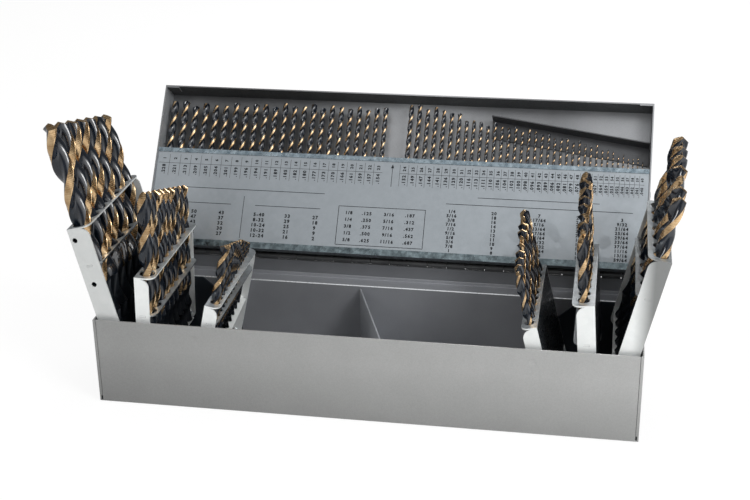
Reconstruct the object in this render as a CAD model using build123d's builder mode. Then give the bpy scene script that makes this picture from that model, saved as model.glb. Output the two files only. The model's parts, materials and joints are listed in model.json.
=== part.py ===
from build123d import *
import math
import os

os.makedirs("parts", exist_ok=True)

# A hinged sheet metal case for drill bits, standing open. Millimetres.
# X runs across the case, Y from the front wall to the back, Z up from the underside.

inch = 25.4

# ------------------------------------------------------------------ case body
case_width = 14 * inch
case_depth = 118.0
case_height = 60.0
sheet = 1.0
rear_wall_drop = 0.8
corner_strip = 1.8
corner_seam = 0.3
corner_relief = 4.0
dent_radius = 3.0
dent_depth = 0.6
lid_dent_radius = 2.0
lid_dent_depth = 0.4
dent_below_rim = 9.0
dent_offset = 110.0

dent_sphere = (dent_radius ** 2 + dent_depth ** 2) / (2 * dent_depth)
lid_dent_sphere = (lid_dent_radius ** 2 + lid_dent_depth ** 2) / (2 * lid_dent_depth)
front_face = -case_depth / 2
back_face = case_depth / 2
inner_half_width = case_width / 2 - sheet

# ------------------------------------------------------------------ rear rail
rail_set_back = 105.0
rail_height = 48.0
rail_lip = 2.5
rail_end_gap = 0.2
bend_radius = 0.8
rail_face = front_face + rail_set_back

# ------------------------------------------------------------------ racks, shared
rack_sheet = 1.0
rack_front_gap = 4.0
rack_rear_gap = 2.0
bit_clearance = 0.25
pivot_radius = 1.6
pivot_clearance = 0.08
pivot_head_radius = 2.7
pivot_head_height = 1.0
pivot_collar_radius = 2.6
pivot_collar_gap = 0.2
bracket_sheet = 1.2
tab_width = 4.0
tab_clearance = 0.1
web_gap = 0.05
foot_gap = 0.05
cutter_length = 4.0
head_room = 0.3
row_margin = 7.5
sight_hole_radius = 1.75

rack_front = front_face + rack_front_gap
rack_rear = rail_face - rack_rear_gap

# ------------------------------------------------------------------ lid
hinge_y = back_face + 1.1
hinge_z = case_height + 1.2
knuckle_radius = 1.9
knuckle_count = 26
knuckle_gap = 0.4
hinge_end_inset = 1.8
hinge_length = case_width - 2 * hinge_end_inset
pin_radius = 1.1
pin_clearance = 0.06
leaf_sheet = 0.7
leaf_height = 14.0
lid_open_angle = 127.7
lid_side_gap = 0.3
lid_back = -6.2
lid_rim = 12.4
lid_reach = 123.0
lid_heel = hinge_y - back_face
lid_heel_top = -2.6
lid_inner_half = case_width / 2 + lid_side_gap
lid_outer_half = lid_inner_half + sheet
gusset_size = 9.0
gusset_sheet = 0.8

# ------------------------------------------------------------------ index panel in the lid
panel_sheet = 0.8
panel_side_gap = 0.2
panel_face = 11.5
panel_bottom = 1.5
panel_top = 74.4
panel_return = 7.0
top_rim = 3.2
bottom_rim = 4.6
panel_rim_rise = 0.5
panel_half_width = lid_inner_half - panel_side_gap
panel_row = 3.0
panel_hole_clearance = 0.15
panel_end_gap = 2.0
long_row_inset = 5.3
short_row_inset = 4.8
first_long_x = long_row_inset - panel_half_width
last_long_x = -12.9
spare_hole_x = -3.0
spare_hole_radius = 3.3
first_short_x = 5.9
last_short_x = panel_half_width - short_row_inset
long_rest_start = 18.2
long_rest_end = 37.6
short_rest_start = 41.9
short_rest_end = 43.3
rest_gap = 0.4
rest_flange = 7.25

# ------------------------------------------------------------------ stop angle in the lid
stop_left_x = 65.0
stop_left_reach = 111.9
stop_right_reach = 95.9
stop_height = 12.0
stop_flange = 14.5
stop_end_gap = 0.4

# ------------------------------------------------------------------ divider
divider_height = 46.0
divider_sheet = 1.0
divider_rear_x = -18.8
divider_front_x = 17.9
divider_foot = 9.0
divider_end_gap = 0.4

# ------------------------------------------------------------------ rivets that hold the panel
rivet_radius = 1.6
rivet_head_radius = 2.9
rivet_head_height = 0.8
rivet_reaches = (16.0, 58.0)

# ------------------------------------------------------------------ bit sizes
# lengths follow the usual short series, straight between these diameters
knot_diameters = (0.040, 0.136, 0.250, 0.500)
knot_lengths = (1.60, 2.85, 4.00, 6.00)
point_half_angle = 59.0
cutting_share = 0.72
flank_share = 0.97
# bits of the panel are ground to slightly different lengths: the play, and the turn from one to the next
length_play = 1.5
play_turn = 2.4
half_inch_down = [n / 64 for n in range(32, 25, -1)]
middle_fractions_down = [n / 64 for n in range(25, 16, -1)]
quarter_inch_down = [n / 64 for n in range(16, 3, -1)]
letters_a_to_j = [0.234, 0.238, 0.242, 0.246, 0.250, 0.257, 0.261, 0.266, 0.272, 0.277]
letters_k_to_s = [0.281, 0.290, 0.295, 0.302, 0.316, 0.323, 0.332, 0.339, 0.348]
letters_t_to_z = [0.358, 0.368, 0.377, 0.386, 0.397, 0.404, 0.413]
wires_1_to_23 = [
    0.2280, 0.2210, 0.2130, 0.2090, 0.2055, 0.2040, 0.2010, 0.1990, 0.1960, 0.1935, 0.1910, 0.1890,
    0.1850, 0.1820, 0.1800, 0.1770, 0.1730, 0.1695, 0.1660, 0.1610, 0.1590, 0.1570, 0.1540,
]
wires_24_to_60 = [
    0.1520, 0.1495, 0.1470, 0.1440, 0.1405, 0.1360, 0.1285, 0.1200, 0.1160, 0.1130, 0.1110, 0.1100,
    0.1065, 0.1040, 0.1015, 0.0995, 0.0980, 0.0960, 0.0935, 0.0890, 0.0860, 0.0820, 0.0810, 0.0785,
    0.0760, 0.0730, 0.0700, 0.0670, 0.0635, 0.0595, 0.0550, 0.0520, 0.0465, 0.0430, 0.0420, 0.0410,
    0.0400,
]

# ------------------------------------------------------------------ the six racks
# side: -1 left, 1 right. pivot: distance of the turning axis from the side wall, and its height.
# lean: outward from upright, degrees.
# half: half the width of the arms. inward: how far the plates reach on the inner side.
# top, guide: height of the two perforated plates above the pivot.
# row: how far the row of bits stands inward of the pivot.
# foot: height above the pivot where the closed outer side ends.
# rest: height of the rest above the pivot at the first and at the last bit.
racks = [
    dict(name="left_outer", side=-1, pivot=(13.6, 36.5), lean=13.4, half=7.15, inward=8.0,
         row=0.5, top=88.0, guide=61.5, foot=6.0, rest=(5.0, 4.2), sizes=half_inch_down,
         sight=((-4.1, 80.7), (-1.3, 48.9))),
    dict(name="left_middle", side=-1, pivot=(30.8, 20.0), lean=-2.0, half=4.75, inward=8.4,
         row=1.5, top=69.5, guide=42.5, foot=1.0, rest=(-3.1, -3.1), sizes=middle_fractions_down, sight=()),
    dict(name="left_inner", side=-1, pivot=(64.8, 7.5), lean=-12.5, half=4.6, inward=5.2,
         row=0.3, top=66.0, guide=53.5, foot=46.0, rest=(6.0, 27.0), sizes=quarter_inch_down, sight=()),
    dict(name="right_outer", side=1, pivot=(13.3, 36.5), lean=13.2, half=6.5, inward=8.0,
         row=0.2, top=88.0, guide=61.5, foot=5.5, rest=(4.5, 4.5), sizes=letters_t_to_z, sight=()),
    dict(name="right_middle", side=1, pivot=(31.3, 20.0), lean=-4.1, half=5.7, inward=8.4,
         row=1.3, top=69.5, guide=43.0, foot=5.0, rest=(4.0, 4.0), sizes=letters_k_to_s, sight=()),
    dict(name="right_inner", side=1, pivot=(54.1, 7.5), lean=-14.0, half=4.9, inward=5.2,
         row=0.3, top=66.0, guide=41.6, foot=6.0, rest=(5.0, 5.0), sizes=letters_a_to_j, sight=()),
]
arm_corner = 6.0
plate_corner = 5.5

# bracket outlines: how far from the side wall the sloping corner starts, and how far the plate reaches
bracket_edge_gap = 0.4
bracket_top_gap = 0.4
left_bracket = dict(slope=42.9, reach=70.0)
right_bracket = dict(slope=40.5, reach=59.4)
bracket_slope = 41.5


def save(part, name):
    """Name one piece and write it to its own file."""
    part.label = name
    export_step(part, "parts/" + name + ".step")


# the lid's own frame: X along the hinge, Y through the back sheet, Z up the lid
lid_lean = math.radians(lid_open_angle - 90)
lid_frame = Plane(
    origin=(0, hinge_y, hinge_z),
    x_dir=(1, 0, 0),
    z_dir=(0, math.sin(lid_lean), math.cos(lid_lean)),
)


def lid_location():
    """Location that carries a piece built with X along the hinge, Y to the back, Z up the lid."""
    return lid_frame.location


def jobber_length(diameter):
    """Overall length in millimetres of a bit whose diameter is given in inches."""
    for k in range(len(knot_diameters) - 1):
        low, high = knot_diameters[k], knot_diameters[k + 1]
        if diameter <= high:
            share = (diameter - low) / (high - low)
            return inch * (knot_lengths[k] + share * (knot_lengths[k + 1] - knot_lengths[k]))
    return inch * knot_lengths[-1]


def pivot_place(rack):
    """X and Z of a rack's turning axis."""
    inset, z = rack["pivot"]
    return rack["side"] * (inner_half_width - inset), z


def box(x0, x1, y0, y1, z0, z1, mode=Mode.ADD):
    """Add or cut a box between two corners in the open builder."""
    with Locations(((x0 + x1) / 2, (y0 + y1) / 2, (z0 + z1) / 2)):
        Box(x1 - x0, y1 - y0, z1 - z0, mode=mode)


# ================================================================== base tray
with BuildPart() as base_tray:
    half = case_width / 2
    box(-half, half, front_face, back_face, 0, sheet)
    for side in (-1, 1):
        wall = sorted((side * half, side * (half - sheet)))
        box(wall[0], wall[1], front_face, back_face, 0, case_height)
        strip = sorted((side * half, side * (half - corner_strip)))
        box(strip[0], strip[1], front_face, front_face + sheet, corner_relief, case_height)
    panel_half = half - corner_strip - corner_seam
    box(-panel_half, panel_half, front_face, front_face + sheet, 0, case_height)
    box(-half, half, back_face - sheet, back_face, 0, case_height - rear_wall_drop)
    with Locations(
        (-dent_offset, front_face - dent_sphere + dent_depth, case_height - dent_below_rim),
        (dent_offset, front_face - dent_sphere + dent_depth, case_height - dent_below_rim),
    ):
        Sphere(dent_sphere, mode=Mode.SUBTRACT)
    floor_edges = base_tray.edges().filter_by(Axis.X).group_by(Axis.Z)[0]
    fillet(floor_edges.sort_by(Axis.Y)[0], bend_radius)
save(base_tray.part, "base_tray")

# ================================================================== rear rail with its ledge
rail_half = inner_half_width - rail_end_gap
with BuildPart() as rear_rail:
    box(-rail_half, rail_half, rail_face, rail_face + sheet, sheet, rail_height)
    box(-rail_half, rail_half, rail_face, back_face - sheet, rail_height - sheet, rail_height)
    box(-rail_half, rail_half, back_face - 2 * sheet, back_face - sheet, rail_height - sheet, rail_height + rail_lip)
    top_front = rear_rail.edges().filter_by(Axis.X).filter_by_position(Axis.Z, rail_height, rail_height)
    fillet(top_front.sort_by(Axis.Y)[0], bend_radius)
save(rear_rail.part, "rear_rail")


# ================================================================== pivot brackets
def bracket(side, outline, y):
    """Plate with a sloping top corner that holds the pivots of one side, its front face at y."""
    wall_x = side * (inner_half_width - bracket_edge_gap)
    top = rail_height - bracket_top_gap
    slope_x = side * (inner_half_width - outline["slope"])
    edge_x = side * (inner_half_width - outline["reach"])
    drop = abs(edge_x - slope_x) * math.tan(math.radians(bracket_slope))
    with BuildPart() as plate:
        with BuildSketch(Plane.XZ.offset(-(y + bracket_sheet))):
            with BuildLine():
                Polyline(
                    (wall_x, sheet),
                    (wall_x, top),
                    (slope_x, top),
                    (edge_x, top - drop),
                    (edge_x, sheet),
                    close=True,
                )
            make_face()
            pivots = [pivot_place(rack) for rack in racks if rack["side"] == side]
            with Locations(*pivots):
                Circle(pivot_radius, mode=Mode.SUBTRACT)
        extrude(amount=bracket_sheet)
    return plate.part


front_bracket_y = front_face + sheet
rear_bracket_y = rail_face - bracket_sheet
save(bracket(-1, left_bracket, rear_bracket_y), "rear_left_bracket")
save(bracket(1, right_bracket, rear_bracket_y), "rear_right_bracket")
save(bracket(-1, left_bracket, front_bracket_y), "front_left_bracket")
save(bracket(1, right_bracket, front_bracket_y), "front_right_bracket")

# ================================================================== divider
divider_front = front_face + sheet + divider_end_gap
divider_rear = rail_face - divider_end_gap
divider_run = divider_rear - divider_front
divider_shift = divider_rear_x - divider_front_x
divider_turn = math.degrees(math.atan2(divider_shift, divider_run))
divider_length = divider_run / math.cos(math.radians(divider_turn)) - divider_sheet
with BuildPart() as divider:
    with Locations(Location(
        ((divider_front_x + divider_rear_x) / 2, (divider_front + divider_rear) / 2, 0),
        (0, 0, -divider_turn),
    )):
        with Locations((0, 0, (sheet + divider_height) / 2)):
            Box(divider_sheet, divider_length, divider_height - sheet)
        with Locations(((divider_foot - divider_sheet) / 2, 0, sheet + divider_sheet / 2)):
            Box(divider_foot, divider_length - divider_foot, divider_sheet)
save(divider.part, "divider")


# ================================================================== racks
def rack_place(rack):
    """Location that carries a rack built upright around its pivot to where it stands."""
    x, z = pivot_place(rack)
    return Location((x, 0, z), (0, rack["side"] * rack["lean"], 0))


def bit_rows(rack):
    """Y of every bit of a rack, front to back."""
    count = len(rack["sizes"])
    start = rack_front + rack_sheet + row_margin
    end = rack_rear - rack_sheet - row_margin
    return [start + k * (end - start) / (count - 1) for k in range(count)]


def bit_holes(rack, height):
    """Cut the holes of one perforated plate."""
    for y, size in zip(bit_rows(rack), rack["sizes"]):
        with Locations((-rack["side"] * rack["row"], y, height)):
            Cylinder(size * inch / 2 + bit_clearance, cutter_length, mode=Mode.SUBTRACT)


def rest_slope(rack):
    """Angle of the rest in degrees, up towards the back."""
    rows = bit_rows(rack)
    rise = rack["rest"][1] - rack["rest"][0]
    return math.degrees(math.atan2(rise, rows[-1] - rows[0]))


def rest_height(rack, y):
    """Height of the rest's top above the pivot at y."""
    rows = bit_rows(rack)
    share = (y - rows[0]) / (rows[-1] - rows[0])
    return rack["rest"][0] + share * (rack["rest"][1] - rack["rest"][0])


def tab_slots(rack, height, lean):
    """Cut the slots that take the end tabs of a cross plate."""
    with Locations(
        Location((0, rack_front, height(rack_front)), (lean, 0, 0)),
        Location((0, rack_rear, height(rack_rear)), (lean, 0, 0)),
    ):
        Box(
            tab_width + 2 * tab_clearance,
            cutter_length,
            rack_sheet + 2 * tab_clearance,
            mode=Mode.SUBTRACT,
        )


def rack_frame(rack):
    """Upper perforated plate with the two arms bent down from its ends."""
    inner = -rack["side"]
    half = rack["half"]
    top = rack["top"]
    with BuildPart() as frame:
        plate = sorted((-inner * half, inner * rack["inward"]))
        box(plate[0], plate[1], rack_front, rack_rear, top, top + rack_sheet)
        corners = frame.edges().filter_by(Axis.Z).group_by(Axis.X)[-1 if inner > 0 else 0]
        fillet(corners, plate_corner)
        for y in (rack_front + rack_sheet, rack_rear):
            with BuildSketch(Plane.XZ.offset(-y)):
                with BuildLine():
                    Polyline(
                        (-inner * half, 0),
                        (-inner * half, top),
                        (inner * (half - arm_corner), top),
                    )
                    corner_start = (inner * (half - arm_corner), top)
                    corner_end = (inner * half, top - arm_corner)
                    RadiusArc(corner_start, corner_end, inner * arm_corner)
                    Line(corner_end, (inner * half, 0))
                    RadiusArc((inner * half, 0), (-inner * half, 0), inner * half)
                make_face()
                Circle(pivot_radius + pivot_clearance, mode=Mode.SUBTRACT)
                if rack["sight"]:
                    with Locations(*[(inner * x, z) for x, z in rack["sight"]]):
                        Circle(sight_hole_radius, mode=Mode.SUBTRACT)
            extrude(amount=rack_sheet)
        bit_holes(rack, top)
        tab_slots(rack, lambda y: rack["guide"] + rack_sheet / 2, 0)
        tab_slots(rack, lambda y: rest_height(rack, y) - rack_sheet / 2, rest_slope(rack))
    return frame.part.moved(rack_place(rack))


def rack_guide(rack):
    """Lower perforated plate with the closed outer side of the rack, bent from one strip."""
    inner = -rack["side"]
    half = rack["half"]
    low = rack["guide"]
    top = rack["top"] - web_gap
    front = rack_front + rack_sheet + web_gap
    rear = rack_rear - rack_sheet - web_gap
    with BuildPart() as guide:
        plate = sorted((-inner * half, inner * rack["inward"]))
        box(plate[0], plate[1], front, rear, low, low + rack_sheet)
        corners = guide.edges().filter_by(Axis.Z).group_by(Axis.X)[-1 if inner > 0 else 0]
        fillet(corners, plate_corner)
        web = sorted((-inner * half, -inner * (half - rack_sheet)))
        box(web[0], web[1], front, rear, rack["foot"], top)
        box(-tab_width / 2, tab_width / 2, rack_front, rack_rear, low, low + rack_sheet)
        bit_holes(rack, low)
    return guide.part.moved(rack_place(rack))


def rack_rest(rack):
    """Plain plate under the shanks, with a tab at each end."""
    half = rack["half"] - rack_sheet / 2
    slope = rest_slope(rack)
    middle = (rack_front + rack_rear) / 2
    run = (rack_rear - rack_front) / math.cos(math.radians(slope))
    head_depth = rack_sheet + pivot_collar_gap + pivot_head_height + head_room
    inside = (rack_rear - rack_front - 2 * head_depth) / math.cos(math.radians(slope))
    trim = rack_sheet * abs(math.sin(math.radians(slope)))
    with BuildPart() as rest:
        with Locations(Location((0, middle, rest_height(rack, middle)), (slope, 0, 0))):
            with Locations((0, 0, -rack_sheet / 2)):
                Box(2 * half, inside - trim, rack_sheet)
                Box(tab_width, run - trim, rack_sheet)
    return rest.part.moved(rack_place(rack))


def placed_bits(spots):
    """Bits standing upright at a list of (x, y, z, radius, length): shank, cutting length, point."""
    solids = []
    for x, y, z, radius, length in spots:
        point = radius / math.tan(math.radians(point_half_angle))
        cut_start = length * (1 - cutting_share)
        flank = radius * flank_share
        with BuildPart() as bit:
            with BuildSketch(Plane.XZ):
                with BuildLine():
                    Polyline(
                        (0, 0),
                        (radius, 0),
                        (radius, cut_start),
                        (flank, cut_start + radius),
                        (flank, length - flank_share * point),
                        (0, length),
                        close=True,
                    )
                make_face()
            revolve(axis=Axis.Z)
        solids.append(bit.part.solid().moved(Location((x, y, z))))
    return Part(Compound(solids).wrapped)


def rack_bits(rack):
    """All bits of one rack, standing on its rest."""
    tilt = abs(math.tan(math.radians(rest_slope(rack))))
    spots = []
    for y, size in zip(bit_rows(rack), rack["sizes"]):
        radius = size * inch / 2
        foot = rest_height(rack, y) + radius * tilt + foot_gap
        spots.append((-rack["side"] * rack["row"], y, foot, radius, jobber_length(size)))
    return placed_bits(spots).moved(rack_place(rack))


for rack in racks:
    save(rack_frame(rack), "rack_" + rack["name"] + "_frame")
    save(rack_guide(rack), "rack_" + rack["name"] + "_guide")
    save(rack_rest(rack), "rack_" + rack["name"] + "_rest")
    save(rack_bits(rack), "bits_" + rack["name"])

# ================================================================== pivot rivets
with BuildPart() as pivot_rivets:
    for rack in racks:
        x, z = pivot_place(rack)
        for end, plate_y, arm_y in (
            (1, front_face + sheet, rack_front),
            (-1, rail_face, rack_rear),
        ):
            face_y = plate_y + end * bracket_sheet
            collar_end = arm_y - end * pivot_collar_gap
            head_start = arm_y + end * (rack_sheet + pivot_collar_gap)
            head_end = head_start + end * pivot_head_height
            for radius, y0, y1 in (
                (pivot_radius, plate_y, head_start),
                (pivot_collar_radius, face_y, collar_end),
                (pivot_head_radius, head_start, head_end),
            ):
                with Locations(Location((x, (y0 + y1) / 2, z), (90, 0, 0))):
                    Cylinder(radius, abs(y1 - y0))
save(pivot_rivets.part, "pivot_rivets")

# ================================================================== hinge
knuckle_pitch = hinge_length / knuckle_count


def knuckle_centres(first):
    """X of every second knuckle, starting with the first or the second."""
    start = -hinge_length / 2 + knuckle_pitch / 2
    return [start + k * knuckle_pitch for k in range(first, knuckle_count, 2)]


def hinge_leaf(first, strip, neck):
    """A leaf with its knuckles around the X axis; strip and neck are (y0, y1, z0, z1)."""
    with BuildPart() as leaf:
        box(-hinge_length / 2, hinge_length / 2, *strip)
        for x in knuckle_centres(first):
            half_knuckle = (knuckle_pitch - knuckle_gap) / 2
            box(x - half_knuckle, x + half_knuckle, *neck)
            with Locations(Location((x, 0, 0), (0, 90, 0))):
                Cylinder(knuckle_radius, 2 * half_knuckle)
        with Locations(Location((0, 0, 0), (0, 90, 0))):
            Cylinder(pin_radius + pin_clearance, hinge_length, mode=Mode.SUBTRACT)
    return leaf.part


knuckle_room = knuckle_radius + knuckle_gap
base_leaf_y = (-lid_heel, leaf_sheet - lid_heel)
base_leaf = hinge_leaf(0, (*base_leaf_y, -leaf_height, -knuckle_room), (*base_leaf_y, -knuckle_room, 0))
save(base_leaf.moved(Location((0, hinge_y, hinge_z))), "hinge_base_leaf")

with BuildPart() as hinge_pin:
    with Locations(Location((0, hinge_y, hinge_z), (0, 90, 0))):
        Cylinder(pin_radius, hinge_length - 2 * knuckle_gap)
save(hinge_pin.part, "hinge_pin")

# the lid's leaf lies against the heel of the lid, between the hinge axis and the back sheet
lid_leaf_z = (lid_heel - leaf_sheet, lid_heel)
lid_leaf = hinge_leaf(1, (knuckle_room, -lid_back, *lid_leaf_z), (0, knuckle_room, *lid_leaf_z))
save(lid_leaf.moved(lid_location()), "hinge_lid_leaf")

# ================================================================== lid shell, built with Y = -depth
with BuildPart() as lid_shell:
    box(-lid_outer_half, lid_outer_half, -lid_back - sheet, -lid_back, lid_heel, lid_reach)
    for side in (-1, 1):
        wall = sorted((side * lid_inner_half, side * lid_outer_half))
        box(wall[0], wall[1], -lid_rim, -lid_back, lid_heel, lid_reach)
    box(-lid_outer_half, lid_outer_half, -lid_rim, -lid_back, lid_reach - sheet, lid_reach)
    box(-lid_outer_half, lid_outer_half, -lid_heel_top, -lid_back, lid_heel, lid_heel + sheet)
    for side in (-1, 1):
        tab = sorted((side * lid_inner_half, side * (lid_inner_half - gusset_size)))
        box(
            tab[0],
            tab[1],
            -lid_rim,
            -lid_rim + gusset_size,
            lid_reach - sheet - gusset_sheet,
            lid_reach - sheet,
        )
    lid_dent_y = -(hinge_z - case_height + dent_below_rim)
    with Locations(
        (-dent_offset, lid_dent_y, lid_reach - lid_dent_depth + lid_dent_sphere),
        (dent_offset, lid_dent_y, lid_reach - lid_dent_depth + lid_dent_sphere),
    ):
        Sphere(lid_dent_sphere, mode=Mode.SUBTRACT)
    for side in (-1, 1):
        for reach in rivet_reaches:
            with Locations(Location((side * lid_inner_half, -panel_row, reach), (0, 90, 0))):
                Cylinder(rivet_radius, cutter_length, mode=Mode.SUBTRACT)
save(lid_shell.part.moved(lid_location()), "lid_shell")

# ================================================================== index panel


def spread(first, last, sizes):
    """Positions from first to last that leave the same gap between neighbouring bits of these sizes."""
    steps = [(a + b) * inch / 2 for a, b in zip(sizes, sizes[1:])]
    gap = (last - first - sum(steps)) / len(steps)
    places = [first]
    for step in steps:
        places.append(places[-1] + step + gap)
    return places


long_x = spread(first_long_x, last_long_x, wires_1_to_23)
short_x = spread(first_short_x, last_short_x, wires_24_to_60)

with BuildPart() as index_panel:
    face_y = -panel_face
    box(-panel_half_width, panel_half_width, face_y, face_y + panel_sheet, panel_bottom, panel_top)
    box(
        -panel_half_width,
        panel_half_width,
        face_y,
        -lid_back - sheet - panel_sheet,
        panel_top - panel_sheet,
        panel_top,
    )
    box(
        -panel_half_width,
        panel_half_width,
        face_y,
        face_y + panel_return,
        panel_bottom,
        panel_bottom + panel_sheet,
    )
    for side in (-1, 1):
        end = sorted((side * panel_half_width, side * (panel_half_width - panel_sheet)))
        box(end[0], end[1], face_y, -lid_back - sheet - panel_sheet, panel_bottom + panel_end_gap, panel_top)
        for reach in rivet_reaches:
            with Locations(Location((side * panel_half_width, -panel_row, reach), (0, 90, 0))):
                Cylinder(rivet_radius, cutter_length, mode=Mode.SUBTRACT)
    for low, high in ((panel_bottom, panel_bottom + bottom_rim), (panel_top - top_rim, panel_top)):
        box(-panel_half_width, panel_half_width, face_y - panel_rim_rise, face_y, low, high)
    for x, size in list(zip(long_x, wires_1_to_23)) + list(zip(short_x, wires_24_to_60)):
        with Locations((x, -panel_row, panel_top)):
            Cylinder(size * inch / 2 + panel_hole_clearance, cutter_length, mode=Mode.SUBTRACT)
    with Locations((spare_hole_x, -panel_row, panel_top)):
        Cylinder(spare_hole_radius, cutter_length, mode=Mode.SUBTRACT)
save(index_panel.part.moved(lid_location()), "index_panel")


def panel_rest(x_first, x_last, reach_first, reach_last, x_start, x_end):
    """Strip inside the panel that the shanks of one row stand on, with a flange on the back sheet."""
    slope = math.atan2(reach_last - reach_first, x_last - x_first)

    def reach_at(x):
        return reach_first + (x - x_first) * math.tan(slope)

    back = -lid_back - sheet
    front = -panel_face + panel_sheet + rest_gap
    with BuildPart() as rest:
        for y0, y1, thickness in (
            (front, back, panel_sheet),
            (back - panel_sheet, back, rest_flange),
        ):
            with BuildSketch(Plane.XZ.offset(-y1)):
                with BuildLine():
                    Polyline(
                        (x_start, reach_at(x_start)),
                        (x_end, reach_at(x_end)),
                        (x_end, reach_at(x_end) - thickness),
                        (x_start, reach_at(x_start) - thickness),
                        close=True,
                    )
                make_face()
            extrude(amount=y1 - y0)
    return rest.part.moved(lid_location())


rest_left_end = -panel_half_width + panel_sheet + rest_gap
rest_right_end = panel_half_width - panel_sheet - rest_gap
middle_x = (last_long_x + first_short_x) / 2
save(
    panel_rest(first_long_x, last_long_x, long_rest_start, long_rest_end, rest_left_end, middle_x - rest_gap),
    "panel_rest_long",
)
save(
    panel_rest(first_short_x, last_short_x, short_rest_start, short_rest_end, middle_x + rest_gap, rest_right_end),
    "panel_rest_short",
)


def panel_bits(xs, sizes, reach_first, reach_last):
    """Bits of one row of the panel, standing on their rest."""
    slope = abs((reach_last - reach_first) / (xs[-1] - xs[0]))
    spots = []
    for k in range(len(xs)):
        radius = sizes[k] * inch / 2
        reach = reach_first + (xs[k] - xs[0]) / (xs[-1] - xs[0]) * (reach_last - reach_first)
        length = jobber_length(sizes[k]) + length_play * math.sin(k * play_turn)
        spots.append((xs[k], -panel_row, reach + radius * slope + foot_gap, radius, length))
    return placed_bits(spots).moved(lid_location())


save(panel_bits(long_x, wires_1_to_23, long_rest_start, long_rest_end), "bits_panel_long")
save(panel_bits(short_x, wires_24_to_60, short_rest_start, short_rest_end), "bits_panel_short")

# ================================================================== stop angle
stop_right_x = lid_inner_half - stop_end_gap
with BuildPart() as stop_angle:
    back = -lid_back - sheet
    for y0, y1, width in ((back - stop_height, back, sheet), (back - sheet, back, stop_flange)):
        with BuildSketch(Plane.XZ.offset(-y1)):
            with BuildLine():
                Polyline(
                    (stop_left_x, stop_left_reach),
                    (stop_right_x, stop_right_reach),
                    (stop_right_x, stop_right_reach - width),
                    (stop_left_x, stop_left_reach - width),
                    close=True,
                )
            make_face()
        extrude(amount=y1 - y0)
save(stop_angle.part.moved(lid_location()), "stop_angle")

# ================================================================== rivets of the panel
with BuildPart() as panel_rivets:
    for side in (-1, 1):
        for reach in rivet_reaches:
            x_inner = panel_half_width - panel_sheet
            x_outer = lid_outer_half
            for radius, x0, x1 in (
                (rivet_radius, x_inner, x_outer),
                (rivet_head_radius, x_outer, x_outer + rivet_head_height),
            ):
                with Locations(Location((side * (x0 + x1) / 2, -panel_row, reach), (0, 90, 0))):
                    Cylinder(radius, x1 - x0)
save(panel_rivets.part.moved(lid_location()), "panel_rivets")
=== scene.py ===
# %% [markdown]
# # A drill bit case, dressed in Blender
# The solids of the case arrive as a fixed frame. Each one already sits in the right place and has the right
# size, so this lesson only adds what a solid model leaves out: rounded sheet edges, twisted flutes, rolled
# hinge knuckles, printed numbers, and the finishes. Everything is in metres, but the case is thought out in
# millimetres.

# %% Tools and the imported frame
import json
import math
import bmesh
import bpy
import numpy as np
from mathutils import Matrix


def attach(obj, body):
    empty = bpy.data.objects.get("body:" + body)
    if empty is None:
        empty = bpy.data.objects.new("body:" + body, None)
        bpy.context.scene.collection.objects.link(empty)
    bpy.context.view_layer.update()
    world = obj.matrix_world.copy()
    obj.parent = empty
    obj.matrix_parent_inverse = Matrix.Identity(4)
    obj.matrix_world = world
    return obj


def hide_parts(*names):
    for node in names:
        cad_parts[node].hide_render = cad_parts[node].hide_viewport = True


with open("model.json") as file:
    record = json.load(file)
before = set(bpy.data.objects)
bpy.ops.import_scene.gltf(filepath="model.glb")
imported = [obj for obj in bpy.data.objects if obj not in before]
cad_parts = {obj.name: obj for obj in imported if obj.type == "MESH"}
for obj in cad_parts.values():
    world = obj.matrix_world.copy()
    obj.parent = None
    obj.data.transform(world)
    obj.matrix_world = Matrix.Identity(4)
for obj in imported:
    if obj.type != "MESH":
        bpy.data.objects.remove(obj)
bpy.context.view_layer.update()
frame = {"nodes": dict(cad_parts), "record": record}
mm = 0.001
node_body = {node: body for body, nodes in frame["record"]["behaviour"]["bodies"].items() for node in nodes}

# %% [markdown]
# ## Measures that the new pieces share with the solids
# A twisted bit has to stand where its plain solid stands, so its rack, its place in the row and its length
# are worked out from the same few measures. The lid leans back around the hinge, and it is easiest to think
# of it in its own directions: x along the hinge, n out of the lid towards the viewer, and u up the lid.

# %% The lid's directions
hinge_y, hinge_z = 60.1, 61.2
lid_lean = math.radians(37.7)
lid_n = np.array([0.0, -math.cos(lid_lean), math.sin(lid_lean)])
lid_u = np.array([0.0, math.sin(lid_lean), math.cos(lid_lean)])


def lid_points(x, n, u):
    """Row frame = hinge axis + x along it + n out of the lid + u up the lid."""
    x, n, u = np.broadcast_arrays(x, n, u)
    along = x[..., None] * np.array([1.0, 0.0, 0.0])
    return np.array([0.0, hinge_y, hinge_z]) + along + n[..., None] * lid_n + u[..., None] * lid_u


print("a point 100 mm up the lid:", lid_points(0, 0, 100).round(1))

# %% The racks
wall = 176.8
rack_front, rack_rear = -55.0, 44.0
rack_ends = 8.5
racks = {
    "left_outer": dict(side=-1, pivot=(13.6, 36.5), lean=13.4, row=0.5, rest=(5.0, 4.2)),
    "left_middle": dict(side=-1, pivot=(30.8, 20.0), lean=-2.0, row=1.5, rest=(-3.1, -3.1)),
    "left_inner": dict(side=-1, pivot=(64.8, 7.5), lean=-12.5, row=0.3, rest=(6.0, 27.0)),
    "right_outer": dict(side=1, pivot=(13.3, 36.5), lean=13.2, row=0.2, rest=(4.5, 4.5)),
    "right_middle": dict(side=1, pivot=(31.3, 20.0), lean=-4.1, row=1.3, rest=(4.0, 4.0)),
    "right_inner": dict(side=1, pivot=(54.1, 7.5), lean=-14.0, row=0.3, rest=(5.0, 5.0)),
}


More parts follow.
